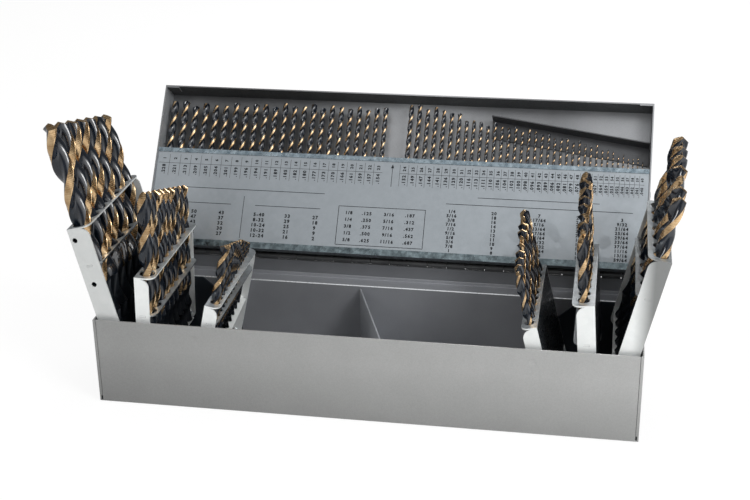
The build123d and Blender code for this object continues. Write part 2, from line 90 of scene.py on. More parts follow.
def rack_points(rack, across, y, up):
    """Turn (across, up) about the y axis by the lean, outwards, then move to the pivot."""
    angle = rack["side"] * math.radians(rack["lean"])
    inset, height = rack["pivot"]
    x = across * math.cos(angle) + up * math.sin(angle) + rack["side"] * (wall - inset)
    z = up * math.cos(angle) - across * math.sin(angle) + height
    return np.stack(np.broadcast_arrays(x, y, z), axis=-1)


print("racks:", ", ".join(racks))

# %% The sizes of the bits, in inches
sizes = {
    "left_outer": [n / 64 for n in range(32, 25, -1)],
    "left_middle": [n / 64 for n in range(25, 16, -1)],
    "left_inner": [n / 64 for n in range(16, 3, -1)],
    "right_inner": [0.234, 0.238, 0.242, 0.246, 0.250, 0.257, 0.261, 0.266, 0.272, 0.277],
    "right_middle": [0.281, 0.290, 0.295, 0.302, 0.316, 0.323, 0.332, 0.339, 0.348],
    "right_outer": [0.358, 0.368, 0.377, 0.386, 0.397, 0.404, 0.413],
    "panel_long": [
        0.2280, 0.2210, 0.2130, 0.2090, 0.2055, 0.2040, 0.2010, 0.1990, 0.1960, 0.1935, 0.1910, 0.1890,
        0.1850, 0.1820, 0.1800, 0.1770, 0.1730, 0.1695, 0.1660, 0.1610, 0.1590, 0.1570, 0.1540,
    ],
    "panel_short": [
        0.1520, 0.1495, 0.1470, 0.1440, 0.1405, 0.1360, 0.1285, 0.1200, 0.1160, 0.1130, 0.1110, 0.1100,
        0.1065, 0.1040, 0.1015, 0.0995, 0.0980, 0.0960, 0.0935, 0.0890, 0.0860, 0.0820, 0.0810, 0.0785,
        0.0760, 0.0730, 0.0700, 0.0670, 0.0635, 0.0595, 0.0550, 0.0520, 0.0465, 0.0430, 0.0420, 0.0410,
        0.0400,
    ],
}
inch = 25.4
knots = ((0.040, 1.60), (0.136, 2.85), (0.250, 4.00), (0.500, 6.00))


def bit_length(diameter):
    """Straight lines between the knots of the usual short series, diameter to length."""
    return inch * np.interp(diameter, [k[0] for k in knots], [k[1] for k in knots])


print("bits:", sum(len(s) for s in sizes.values()))

# %% [markdown]
# ## Finishes
# A finish is a small network of nodes. Each one starts from one Principled shader and gets its colour, its
# roughness and its relief from noise or from cells, read in the object's own metres, so the grain keeps its
# real size on every piece.

# %% Helpers for node networks
def new_finish(name, **sockets):
    """A material with one Principled shader whose named sockets are set."""
    material = bpy.data.materials.new(name)
    material.use_nodes = True
    shader = material.node_tree.nodes["Principled BSDF"]
    for socket, value in sockets.items():
        shader.inputs[socket.replace("_", " ")].default_value = value
    return material


def add(material, kind, **settings):
    """One node, with its properties or its inputs set by name."""
    node = material.node_tree.nodes.new(kind)
    for key, value in settings.items():
        socket = key.replace("_", " ").title()
        if socket in node.inputs:
            node.inputs[socket].default_value = value
        else:
            setattr(node, key, value)
    return node


def wire(material, start, end):
    material.node_tree.links.new(start, end)


def metres(material):
    """The object's own coordinates, which are the row frame's metres."""
    return add(material, "ShaderNodeTexCoord").outputs["Object"]


def noise(material, vector, scale, detail=3.0, roughness=0.5):
    node = add(material, "ShaderNodeTexNoise", scale=scale, detail=detail, roughness=roughness)
    wire(material, vector, node.inputs["Vector"])
    return node.outputs["Fac"]


def blend_values(material, factor, low, high, start=0.3, end=0.7):
    """A number that goes from low to high while factor goes from start to end."""
    node = add(material, "ShaderNodeMapRange", from_min=start, from_max=end, to_min=low, to_max=high)
    wire(material, factor, node.inputs["Value"])
    return node.outputs["Result"]


def blend_colours(material, factor, *stops):
    """A colour ramp through (place, colour) stops."""
    node = add(material, "ShaderNodeValToRGB")
    ramp = node.color_ramp
    while len(ramp.elements) < len(stops):
        ramp.elements.new(0.5)
    for element, (place, colour) in zip(ramp.elements, stops):
        element.position = place
        element.color = (*colour, 1.0)
    wire(material, factor, node.inputs["Fac"])
    return node.outputs["Color"]


def mix_colours(material, factor, first, second, mode="MIX"):
    node = add(material, "ShaderNodeMix", data_type="RGBA", blend_type=mode)
    for place, value in ((0, factor), (6, first), (7, second)):
        if hasattr(value, "is_linked"):
            wire(material, value, node.inputs[place])
        else:
            node.inputs[place].default_value = value
    return node.outputs[2]


def relief(material, height, strength, distance):
    """Bump from a height; distance in metres."""
    node = add(material, "ShaderNodeBump", strength=strength, distance=distance)
    wire(material, height, node.inputs["Height"])
    return node.outputs["Normal"]


def shader_of(material):
    return material.node_tree.nodes["Principled BSDF"]


print("helpers ready")

# %% [markdown]
# ### Grey paint
# The case has a satin grey paint with a fine orange-peel grain and very faint cloudy patches. Two noises do
# this: a coarse one for the clouds, a fine one for the grain. Light and shade may also be painted into a paint
# by greys that follow one or two coordinates: each painted shade is (axis, start, end, (place, grey) stops).

# %% Paint
def with_painted_shade(material, colour, painted_shades):
    """Paint light and shade into a colour: multiply it by greys that follow the object's coordinates."""
    for axis, start, end, stops in painted_shades:
        split = add(material, "ShaderNodeSeparateXYZ")
        wire(material, metres(material), split.inputs[0])
        share = blend_values(material, split.outputs[axis], 0.0, 1.0, start, end)
        grey = blend_colours(material, share, *[(place, (tone,) * 3) for place, tone in stops])
        colour = mix_colours(material, 1.0, colour, grey, "MULTIPLY")
    return colour


def paint(name, dark, light, roughness, painted_shades=()):
    material = new_finish(name, Metallic=0.35)
    where = metres(material)
    clouds = noise(material, where, 45.0, 2.0)
    grain = noise(material, where, 1500.0, 2.0, 0.6)
    speckle = noise(material, where, 620.0, 2.0)
    cloud_colour = blend_colours(material, clouds, (0.3, dark), (0.7, light))
    grain_grey = blend_colours(material, grain, (0.25, (0.86, 0.86, 0.86)), (0.75, (1.0, 1.0, 1.0)))
    colour = mix_colours(material, 1.0, cloud_colour, grain_grey, "MULTIPLY")
    # painted shade from the coordinate greys, where the paint has any
    colour = with_painted_shade(material, colour, painted_shades)
    wire(material, colour, shader_of(material).inputs["Base Color"])
    rough = blend_values(material, speckle, roughness - 0.05, roughness + 0.07)
    wire(material, rough, shader_of(material).inputs["Roughness"])
    wire(material, relief(material, grain, 0.25, 0.0002), shader_of(material).inputs["Normal"])
    return material


# Painted shade: the case paint is made darker towards its left end and towards the bottom.
case_painted_shade = [
    (0, -0.18, 0.18, ((0.0, 0.66), (0.5, 0.88), (1.0, 0.94))),
    (2, 0.0, 0.06, ((0.0, 0.70), (0.7, 1.0))),
]
# Painted shade: the inside of the lid is full in the middle and darker to either side, darkest left of the
# middle.
lid_painted_shade = [
    (0, -0.18, 0.18, ((0.0, 0.5), (0.11, 0.25), (0.28, 0.35), (0.42, 0.75), (0.5, 1.0),
                      (0.58, 1.0), (0.67, 0.6), (0.8, 0.5), (0.9, 0.8), (1.0, 0.85))),
]
case_paint = paint("case_paint", (0.535, 0.540, 0.533), (0.560, 0.565, 0.558), 0.42, case_painted_shade)
# Painted shade: the tray's inside, the rear rail and the divider are the case grey made darker, each by the
# shade where it stands.
inner_paint = paint("inner_paint", (0.21, 0.218, 0.233), (0.235, 0.243, 0.258), 0.40)
rail_painted_shade = paint("rail_painted_shade", (0.34, 0.35, 0.375), (0.38, 0.39, 0.415), 0.40)
# Painted highlight: a pale copy of the grey for the rail's bend and the stop's upper edge.
bend_painted_highlight = paint("bend_painted_highlight", (0.75, 0.78, 0.80), (0.85, 0.88, 0.90), 0.30)
divider_painted_shade = paint("divider_painted_shade", (0.47, 0.49, 0.52), (0.52, 0.54, 0.57), 0.40)
# Painted shade: the lid's inside, its far end with the right wall, and its left wall are the grey made darker by
# different amounts.
lid_inside_painted_shade = paint("lid_inside_painted_shade", (0.34, 0.35, 0.365), (0.38, 0.39, 0.405), 0.34, lid_painted_shade)
lid_end_painted_shade = paint("lid_end_painted_shade", (0.050, 0.053, 0.055), (0.070, 0.073, 0.076), 0.45)
lid_side_painted_shade = paint("lid_side_painted_shade", (0.42, 0.44, 0.46), (0.50, 0.52, 0.54), 0.36)
# Painted shade: the stop angle is the grey made nearly black.
stop_painted_shade = paint("stop_painted_shade", (0.055, 0.057, 0.062), (0.075, 0.078, 0.084), 0.38)
bracket_paint = paint("bracket_paint", (0.020, 0.026, 0.034), (0.030, 0.037, 0.046), 0.45)
print("paints made")

# %% [markdown]
# ### Galvanised sheet
# Zinc crystals show as cells of slightly different brightness. A Voronoi texture gives each cell its own
# random colour; one channel of it shades the metal, and noise roughens it.

# %% Zinc
def zinc(name, dark, light, cell_scale, roughness, contrast=0.16, metallic=0.85, painted_shades=(), bump=0.12):
    material = new_finish(name, Metallic=metallic)
    where = metres(material)
    cells = add(material, "ShaderNodeTexVoronoi", scale=cell_scale)
    bend = noise(material, where, cell_scale * 2.0, 2.0)
    shifted = add(material, "ShaderNodeVectorMath", operation="MULTIPLY_ADD")
    shifted.inputs[1].default_value = (1.0, 1.0, 1.0)
    wire(material, where, shifted.inputs[0])
    offset = add(material, "ShaderNodeCombineXYZ")
    small = blend_values(material, bend, -0.0012, 0.0012, 0.0, 1.0)
    for axis in "XYZ":
        wire(material, small, offset.inputs[axis])
    wire(material, offset.outputs["Vector"], shifted.inputs[2])
    wire(material, shifted.outputs["Vector"], cells.inputs["Vector"])
    channel = add(material, "ShaderNodeSeparateColor")
    wire(material, cells.outputs["Color"], channel.inputs["Color"])
    crystal = channel.outputs["Red"]
    clouds = noise(material, where, 220.0, 4.0, 0.6)
    base = blend_colours(material, clouds, (0.3, dark), (0.7, light))
    crystal_grey = blend_colours(
        material, crystal, (0.0, (1.0 - contrast,) * 3), (1.0, (1.0, 1.0, 1.0))
    )
    colour = mix_colours(material, 1.0, base, crystal_grey, "MULTIPLY")
    # painted shade from the coordinate greys, where the zinc has any
    colour = with_painted_shade(material, colour, painted_shades)
    wire(material, colour, shader_of(material).inputs["Base Color"])
    rough = blend_values(material, crystal, roughness - 0.08, roughness + 0.08, 0.0, 1.0)
    wire(material, rough, shader_of(material).inputs["Roughness"])
    wire(material, relief(material, clouds, bump, 0.0002), shader_of(material).inputs["Normal"])
    return material


def specks(material, scale, low, high, tone):
    """Paler flecks where a fine noise rises from low to high."""
    shader = shader_of(material)
    under = shader.inputs["Base Color"].links[0].from_socket
    share = blend_values(material, noise(material, metres(material), scale, 2.0, 0.6), 0.0, 1.0, low, high)
    wire(material, mix_colours(material, share, under, (*tone, 1.0)), shader.inputs["Base Color"])


# Painted shade: the nearly white zinc is made darker at the far left and much darker at the far right.
arm_painted_shade = [
    (0, -0.20, 0.20, ((0.0, 0.72), (0.085, 0.74), (0.11, 1.0), (0.925, 1.0), (0.952, 0.28))),
]
rack_zinc = zinc("rack_zinc", (0.93, 0.96, 0.95), (0.97, 0.99, 0.98), 260.0, 0.44, 0.03, 0.25, arm_painted_shade)
plate_zinc = zinc("plate_zinc", (0.34, 0.37, 0.39), (0.50, 0.53, 0.55), 420.0, 0.40, 0.15, 0.6, bump=0.04)
# Painted shade: the closed sides of the guides are the zinc made nearly black; their paler flecks are partly
# spangle and partly painted glints.
web_zinc_painted_shade = zinc("web_zinc_painted_shade", (0.035, 0.042, 0.050), (0.11, 0.125, 0.14), 700.0, 0.30, 0.5, 0.6)
specks(web_zinc_painted_shade, 620.0, 0.58, 0.70, (0.24, 0.26, 0.28))
panel_zinc = zinc("panel_zinc", (0.255, 0.280, 0.300), (0.275, 0.300, 0.322), 120.0, 0.44, 0.03)
rim_zinc = zinc("rim_zinc", (0.11, 0.15, 0.18), (0.30, 0.36, 0.40), 600.0, 0.30, 0.35)
# Painted shade: the lower rim is the rim's zinc at about half its brightness.
low_rim_zinc_painted_shade = zinc("low_rim_zinc_painted_shade", (0.06, 0.08, 0.09), (0.20, 0.25, 0.27), 500.0, 0.34, 0.5)
print("zinc made")

# %% [markdown]
# ### Black and gold bits
# The bits are black all over, then ground on the lands and the point, which heats the steel to a straw
# gold. The lands carry fine grinding lines around the bit, so their noise reads the distance along the bit,
# which the mesh stores as an attribute named along.

# %% Bit steel
def bit_finish(name, dark, light, metallic, roughness, lines):
    material = new_finish(name, Metallic=metallic)
    distance = add(material, "ShaderNodeAttribute", attribute_name="along").outputs["Fac"]
    where = metres(material)
    grind = add(material, "ShaderNodeTexNoise", noise_dimensions="1D")
    grind.inputs["Scale"].default_value = lines
    wire(material, distance, grind.inputs["W"])
    clouds = noise(material, where, 160.0, 3.0)
    mixed = add(material, "ShaderNodeMath", operation="ADD")
    wire(material, grind.outputs["Fac"], mixed.inputs[0])
    wire(material, clouds, mixed.inputs[1])
    share = blend_values(material, mixed.outputs[0], 0.0, 1.0, 0.6, 1.4)
    colour = blend_colours(material, share, (0.1, dark), (0.9, light))
    wire(material, colour, shader_of(material).inputs["Base Color"])
    rough = blend_values(material, grind.outputs["Fac"], roughness - 0.06, roughness + 0.08)
    wire(material, rough, shader_of(material).inputs["Roughness"])
    wire(material, relief(material, grind.outputs["Fac"], 0.03, 0.0001), shader_of(material).inputs["Normal"])
    return material


flute_black = bit_finish("flute_black", (0.003, 0.005, 0.009), (0.009, 0.015, 0.026), 0.0, 0.18, 1.6)
shader_of(flute_black).inputs["Coat Weight"].default_value = 0.8
shader_of(flute_black).inputs["Coat Roughness"].default_value = 0.10
land_gold = bit_finish("land_gold", (0.40, 0.235, 0.10), (0.95, 0.70, 0.42), 1.0, 0.22, 3.0)
shank_black = bit_finish("shank_black", (0.010, 0.013, 0.018), (0.022, 0.027, 0.034), 0.2, 0.34, 0.5)
print("bit steel made")

# %% Small steel parts and ink
# Painted shade: the hinge and its pin are a near-black grey for the shade they lie in under the lid and panel.
hinge_steel = paint("hinge_steel", (0.075, 0.078, 0.080), (0.12, 0.124, 0.126), 0.6)
rivet_steel = zinc("rivet_steel", (0.50, 0.54, 0.55), (0.68, 0.72, 0.72), 900.0, 0.30)
ink = paint("ink", (0.006, 0.007, 0.009), (0.012, 0.013, 0.016), 0.7)
shader_of(ink).inputs["Metallic"].default_value = 0.0
shader_of(ink).inputs["Specular IOR Level"].default_value = 0.1
print("small finishes made")

# %% [markdown]
# ## Making pieces
# Two ways are used. A shape of its own is computed as an array of points and turned into a mesh. A folded
# sheet that the solids already describe is copied from its solid, welded, and given rounded edges by a
# bevel, because the thin bright line along a sheet's edge is what makes it read as metal.

# %% From arrays to pieces
def add_piece(name, points, faces, body, materials, which=None, sharp=35.0, attributes=None):
    """Points in millimetres and faces become a mesh object that rides on a body."""
    mesh = bpy.data.meshes.new(name)
    mesh.from_pydata((np.asarray(points, float).reshape(-1, 3) * mm).tolist(), [], faces)
    for material in materials:
        mesh.materials.append(material)
    if which is not None:
        mesh.polygons.foreach_set("material_index", np.asarray(which, np.int32))
    for key, values in (attributes or {}).items():
        layer = mesh.attributes.new(key, "FLOAT", "POINT")
        layer.data.foreach_set("value", np.asarray(values, np.float32))
    mesh.polygons.foreach_set("use_smooth", np.ones(len(mesh.polygons), bool))
    mesh.set_sharp_from_angle(angle=math.radians(sharp))
    mesh.update()
    piece = bpy.data.objects.new(name, mesh)
    bpy.context.scene.collection.objects.link(piece)
    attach(piece, body)
    return piece


def grid_faces(rows, columns, start=0, closed=True):
    """Quads between neighbouring rows; the last column joins the first where the surface is closed."""
    r = np.arange(rows - 1)[:, None]
    c = np.arange(columns if closed else columns - 1)[None, :]
    right = (c + 1) % columns
    low, high = r * columns, (r + 1) * columns
    quads = np.stack([low + c, low + right, high + right, high + c], -1)
    return (quads.reshape(-1, 4) + start).tolist()


print("array helpers ready")

# %% From a solid to a piece with rounded edges
def rounded_copy(node, width, materials, choose=None, segments=2, merge=True):
    """Weld a copy of the solid's triangles, merge the flat ones if asked, and bevel edges over 40 degrees."""
    source = frame["nodes"][node].data
    points = np.empty(len(source.vertices) * 3)
    source.vertices.foreach_get("co", points)
    corners = np.empty(len(source.loops), np.int32)
    source.loops.foreach_get("vertex_index", corners)
    mesh = bpy.data.meshes.new(node + "_sheet")
    mesh.from_pydata(points.reshape(-1, 3).tolist(), [], corners.reshape(-1, 3).tolist())
    shape = bmesh.new()
    shape.from_mesh(mesh)
    bmesh.ops.remove_doubles(shape, verts=shape.verts, dist=5e-6)
    if merge:
        bmesh.ops.dissolve_limit(shape, angle_limit=math.radians(0.5), verts=shape.verts, edges=shape.edges)
    shape.to_mesh(mesh)
    shape.free()
    for material in materials:
        mesh.materials.append(material)
    count = len(mesh.polygons)
    if choose is not None:
        centres = np.empty(count * 3)
        normals = np.empty(count * 3)
        mesh.polygons.foreach_get("center", centres)
        mesh.polygons.foreach_get("normal", normals)
        picked = choose(centres.reshape(-1, 3) / mm, normals.reshape(-1, 3))
        mesh.polygons.foreach_set("material_index", np.asarray(picked, np.int32))
    mesh.polygons.foreach_set("use_smooth", np.ones(count, bool))
    mesh.update()
    piece = bpy.data.objects.new(node + "_sheet", mesh)
    bpy.context.scene.collection.objects.link(piece)
    bevel = piece.modifiers.new("rounded edge", "BEVEL")
    bevel.width = width * mm
    bevel.segments = segments
    bevel.limit_method = "ANGLE"
    bevel.angle_limit = math.radians(40)
    flat = piece.modifiers.new("flat faces stay flat", "WEIGHTED_NORMAL")
    flat.keep_sharp = True
    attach(piece, node_body[node])
    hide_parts(node)
    return piece


print("copy helper ready")

# %% [markdown]
# ## The case and the lid
# Outside faces carry the case paint and inside faces darker copies of it, painted shade for the inside of the
# tray and the lid. The copy of the solid knows where each face lies, so the inside is every face that is not on
# an outer plane.

# %% Base tray, rail, divider and brackets
case_half, case_back, case_front, case_top = 177.8, 59.0, -59.0, 60.0
face_tolerance = 0.05
dent_depth = 0.65
bend_share = 0.15


def inside_of_base(centres, normals):
    x, y, z = centres.T
    outer = (abs(x) > case_half - face_tolerance) | (abs(y) > case_back - face_tolerance)
    outer |= y < case_front + dent_depth
    outer |= (z < face_tolerance) | (z > case_top - face_tolerance)
    return np.where(outer, 0, 1)


def bend_of_rail(centres, normals):
    """The rounded bend between wall and ledge, which carries a painted highlight, is every face that looks both
    forward and up.
    """
    return np.where((normals[:, 1] < -bend_share) & (normals[:, 2] > bend_share), 1, 0)


rounded_copy("base_tray", 0.3, [case_paint, inner_paint], inside_of_base, merge=False)
rounded_copy("rear_rail", 0.3, [rail_painted_shade, bend_painted_highlight], bend_of_rail)
rounded_copy("divider", 0.25, [divider_painted_shade])
for node in ("rear_left_bracket", "rear_right_bracket", "front_left_bracket", "front_right_bracket"):
    rounded_copy(node, 0.25, [bracket_paint])
print("base made")

# %% Lid shell and stop angle
lid_half, lid_outer_n, lid_end = 179.1, -6.2, 123.0
lid_dent_depth = 0.45


def inside_of_lid(centres, normals):
    local = centres - np.array([0.0, hinge_y, hinge_z])
    n, u = local @ lid_n, local @ lid_u
    outer = (abs(centres[:, 0]) > lid_half - face_tolerance) | (n < lid_outer_n + face_tolerance)
    outer |= u > lid_end - lid_dent_depth
    end = (normals @ lid_u) < -0.7
    left = normals[:, 0] > 0.7
    right = normals[:, 0] < -0.7
    return np.where(outer, 0, np.where(end | right, 2, np.where(left, 3, 1)))


def edge_of_stop(centres, normals):
    """The upper edge, which carries a painted highlight, is every face that looks up the lid."""
    return np.where(normals @ lid_u > 0.9, 1, 0)


rounded_copy("lid_shell", 0.3, [case_paint, lid_inside_painted_shade, lid_end_painted_shade, lid_side_painted_shade], inside_of_lid)
rounded_copy("stop_angle", 0.25, [stop_painted_shade, bend_painted_highlight], edge_of_stop)
print("lid made")

# %% [markdown]
# ## Racks
# Each rack is three pieces of galvanised sheet. The closed outer side of the lower piece is painted dark for the
# shade it lies in, with paler flecks that are partly spangle and partly painted glints, the perforated plates
# are grey, and the rest is nearly white with painted shade at the far left and far right.

# %% Rack sheets
def web_of_guide(rack):
    """The closed side is every face of the guide that looks sideways rather than up or down."""
    angle = rack["side"] * math.radians(rack["lean"])
    sideways = np.array([math.cos(angle), 0.0, -math.sin(angle)])

    def choose(centres, normals):
        ends = abs(normals[:, 1]) > 0.9
        return np.where(abs(normals @ sideways) > 0.9, 1, np.where(ends, 2, 0))

    return choose


def plate_of_frame(rack):
    """The perforated plate is every face of the frame that looks up or down along the rack."""
    angle = rack["side"] * math.radians(rack["lean"])
    upward = np.array([math.sin(angle), 0.0, math.cos(angle)])

    def choose(centres, normals):
        return np.where(abs(normals @ upward) > 0.95, 1, 0)

    return choose


for name, rack in racks.items():
    rounded_copy(f"rack_{name}_frame", 0.25, [rack_zinc, plate_zinc], plate_of_frame(rack))
    rounded_copy(f"rack_{name}_guide", 0.25, [plate_zinc, web_zinc_painted_shade, rack_zinc], web_of_guide(rack))
    rounded_copy(f"rack_{name}_rest", 0.25, [rack_zinc])
print("rack sheets:", 3 * len(racks))

# %% [markdown]
# ## Twisted bits
# A twist drill is one cross-section carried up the axis while it turns. Half of the section is a land, on
# the full radius with a narrow raised margin, and a flute that dips in to the web; the other half repeats
# it. The point is the same section cut by a cone.

# %% Cross-section of a bit
# pairs of (angle in degrees, share of the radius) over half a turn: land, margin, then the flute
half_section = np.array([
    (0, 0.900), (6, 0.955), (28, 0.965), (50, 0.965), (51.5, 1.0), (60, 1.0), (64, 0.80), (70, 0.58),
    (80, 0.40), (93, 0.31), (108, 0.28), (124, 0.32), (140, 0.42), (154, 0.56), (166, 0.72), (174, 0.83),
])
land_start, land_end = 1, 5
small_section = half_section[[0, 2, 3, 5, 7, 9, 11, 13, 14]]
small_land_start, small_land_end = 1, 3
small_radius = 3.0
helix_angle = math.radians(30)
cutting_share = 0.72
point_slope = 1 / math.tan(math.radians(59))
turn_rings = 26
small_turn_rings = 13


def bit_surface(radius, length, start_angle):
    """Points, faces, finish of each face and distance along, of one bit standing on the origin.

    At height z and section angle a, the point lies at radius r(a) and angle a + 2 pi z / pitch, where pitch is
    the circumference divided by the tangent of the helix angle. r(a) eases from the full radius to the section
    over the first bit diameter above the shank. The last rings lie on the cone z = length - r / tan 59.
    """
    small = radius < small_radius
    half = small_section if small else half_section
    first_land, last_land = (small_land_start, small_land_end) if small else (land_start, land_end)
    degrees = np.concatenate([half[:, 0], half[:, 0] + 180])
    shares = np.tile(half[:, 1], 2)
    pitch = 2 * math.pi * radius / math.tan(helix_angle)
    cut_start = length * (1 - cutting_share)
    cut_end = length - radius * point_slope * 1.02
    rings = max(14, math.ceil((cut_end - cut_start) / pitch * (small_turn_rings if small else turn_rings)))
    foot = np.array([0.0, 0.3 * radius, cut_start * 0.5])
    z = np.concatenate([foot, np.linspace(cut_start, cut_end, rings)])
    ease = np.clip((z - cut_start) / (2.4 * radius), 0, 1)
    ease = ease * ease * (3 - 2 * ease)
    r = radius * (1 - ease[:, None] * (1 - shares[None, :]))
    r[0] *= 0.85
    heights = np.repeat(z[:, None], len(shares), 1)
    cap = np.array([1.0, 0.66, 0.33, 0.08])[:, None] * shares[None, :] * radius
    r = np.concatenate([r, cap])
    heights = np.concatenate([heights, length - cap * point_slope])
    section = np.radians(degrees)[None, :]
    angle = section + 2 * math.pi * heights / pitch + start_angle
    rim_height = length - shares * radius * point_slope
    angle[len(z):] = section + 2 * math.pi * rim_height / pitch + start_angle
    points = np.stack([r * np.cos(angle), r * np.sin(angle), heights], -1).reshape(-1, 3)
    rows, columns = r.shape
    faces = grid_faces(rows, columns)
    segment = np.tile(np.arange(columns), rows - 1) % len(half)
    row = np.repeat(np.arange(rows - 1), columns)
    finish = np.where((segment >= first_land) & (segment < last_land), 1, 0)
    finish[row < len(foot)] = 2
    finish[row >= len(z)] = 1
    centre = len(points)
    points = np.concatenate([points, [[0, 0, 0], [0, 0, length]]])
    last = (rows - 1) * columns
    bottom = [[centre, (c + 1) % columns, c] for c in range(columns)]
    top = [[centre + 1, last + c, last + (c + 1) % columns] for c in range(columns)]
    finish = np.concatenate([finish, np.full(columns, 2), np.full(columns, 1)])
    return points, faces + bottom + top, finish, points[:, 2]


def join_bits(bits):
    """Stack the arrays of several bits, each already in place, into one."""
    points, faces, finish, along, start = [], [], [], [], 0
    for p, f, m, a in bits:
        points.append(p)
        faces += [[v + start for v in face] for face in f]
        finish.append(m)
        along.append(a)
        start += len(p)
    return np.concatenate(points), faces, np.concatenate(finish), np.concatenate(along)


print("points in a large section:", 2 * len(half_section))

# %% Bits in the racks
bit_finishes = [flute_black, land_gold, shank_black]
dice = np.random.default_rng(7)
foot_gap = 0.05
for name, rack in racks.items():
    rows = np.linspace(rack_front + rack_ends, rack_rear - rack_ends, len(sizes[name]))
    feet = np.interp(rows, rows[[0, -1]], rack["rest"])
    tilt = abs(rack["rest"][1] - rack["rest"][0]) / (rows[-1] - rows[0])
    bits = []
    for y, foot, size in zip(rows, feet, sizes[name]):
        radius = size * inch / 2
        p, f, m, along = bit_surface(radius, bit_length(size), dice.uniform(0, 2 * math.pi))
        up = p[:, 2] + foot + radius * tilt + foot_gap
        bits.append((rack_points(rack, p[:, 0] - rack["side"] * rack["row"], p[:, 1] + y, up), f, m, along))
    points, faces, finish, along = join_bits(bits)
    piece = add_piece(f"bits_{name}_twisted", points, faces, f"rack_{name}", bit_finishes, finish,
                      attributes={"along": along})
    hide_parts(f"bits_{name}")
    print(piece.name, len(piece.data.polygons), "faces")

# %% Bits in the panel
def spread(first, last, diameters):
    """Neighbours stand their two radii plus one shared gap apart; the gap fills the row exactly."""
    steps = (np.array(diameters[:-1]) + np.array(diameters[1:])) * inch / 2
    gap = (last - first - steps.sum()) / len(steps)
    return first + np.concatenate([[0.0], np.cumsum(steps + gap)])


panel_half = 177.9
panel_row = 3.0
length_play, play_turn = 1.5, 2.4
long_x = spread(5.3 - panel_half, -12.9, sizes["panel_long"])
short_x = spread(5.9, panel_half - 4.8, sizes["panel_short"])
panel_rows = {"panel_long": (long_x, 18.2, 37.6), "panel_short": (short_x, 41.9, 43.3)}
for name, (xs, first, last) in panel_rows.items():
    reaches = np.interp(xs, xs[[0, -1]], (first, last))
    tilt = abs(last - first) / (xs[-1] - xs[0])
    bits = []
    plays = length_play * np.sin(np.arange(len(xs)) * play_turn)
    for x, reach, size, play in zip(xs, reaches, sizes[name], plays):
        radius = size * inch / 2
        p, f, m, along = bit_surface(radius, bit_length(size) + play, dice.uniform(0, 2 * math.pi))
        up = p[:, 2] + reach + radius * tilt + foot_gap
        bits.append((lid_points(p[:, 0] + x, panel_row - p[:, 1], up), f, m, along))
    points, faces, finish, along = join_bits(bits)
    piece = add_piece(f"bits_{name}_twisted", points, faces, "lid", bit_finishes, finish,
                      attributes={"along": along})
    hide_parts(f"bits_{name}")
    print(piece.name, len(piece.data.polygons), "faces")

# %% [markdown]
# ## Index panel
# The panel is a shallow channel with a rolled rim along its top and its bottom edge. The rims have their own
# darker, mottled zinc, and the bottom rim a copy of it at about half the brightness, which is painted shade.

# %% Panel sheet and hidden rests
panel_face, panel_bottom, panel_top, low_rim, top_rim = 11.5, 1.5, 74.4, 4.6, 3.2


def rims_of_panel(centres, normals):
    local = centres - np.array([0.0, hinge_y, hinge_z])
    n, u = local @ lid_n, local @ lid_u
    front = n > panel_face - face_tolerance
    top = front & (u > panel_top - top_rim - face_tolerance)
    low = front & (u < panel_bottom + low_rim + face_tolerance)
    return np.where(top, 1, np.where(low, 2, 0))


rounded_copy("index_panel", 0.22, [panel_zinc, rim_zinc, low_rim_zinc_painted_shade], rims_of_panel)
rounded_copy("panel_rest_long", 0.2, [rack_zinc])
rounded_copy("panel_rest_short", 0.2, [rack_zinc])
print("panel made")

# %% [markdown]
# ## Printed numbers
# The panel carries plain numbers: the index numbers of the holes with their diameters, and small tables.
# Each character is drawn once as a thin solid, and strings are laid out by copying those points.

# %% Glyphs
def glyph_shapes(characters):
    """Points and faces of each character, its height scaled to 1 and its width centred."""
    shapes = {}
    for character in characters:
        curve = bpy.data.curves.new("glyph", "FONT")
        curve.body = character
        curve.resolution_u = 2
        curve.extrude = 0.02
        curve.offset = 0.045
        holder = bpy.data.objects.new("glyph", curve)
        bpy.context.scene.collection.objects.link(holder)
        bpy.context.view_layer.update()
        mesh = bpy.data.meshes.new_from_object(holder)
        points = np.empty(len(mesh.vertices) * 3)
        mesh.vertices.foreach_get("co", points)
        shapes[character] = (points.reshape(-1, 3), [list(p.vertices) for p in mesh.polygons])
        bpy.data.objects.remove(holder)
        bpy.data.meshes.remove(mesh)
    zero = shapes["0"][0]
    height = np.ptp(zero[:, 1])
    for character, (points, faces) in shapes.items():
        points = points / height
        points[:, 0] -= (points[:, 0].min() + points[:, 0].max()) / 2
        shapes[character] = (points, faces)
    return shapes


glyphs = glyph_shapes("0123456789./-")
glyph_step = {".": 0.46, "/": 0.56, "-": 0.6}
ink_low, ink_high = panel_face - 0.02, panel_face + 0.04
print("glyphs:", len(glyphs))

# %% Laying out strings, rules and the arrow
def string_points(text, x, u, height, turned=False):
    """Characters side by side, centred on (x, u); turned strings read up the lid."""
    steps = np.array([glyph_step.get(c, 0.80) for c in text])
    middles = np.cumsum(steps) - steps / 2 - steps.sum() / 2
    made = []
    for character, middle in zip(text, middles):
        points, faces = glyphs[character]
        across = (points[:, 0] + middle) * height
        up = (points[:, 1] - 0.5) * height
        if turned:
            across, up = -up, across
        n = np.where(points[:, 2] > 0, ink_high, ink_low)
        made.append((lid_points(x + across, n, u + up), faces))
    return made


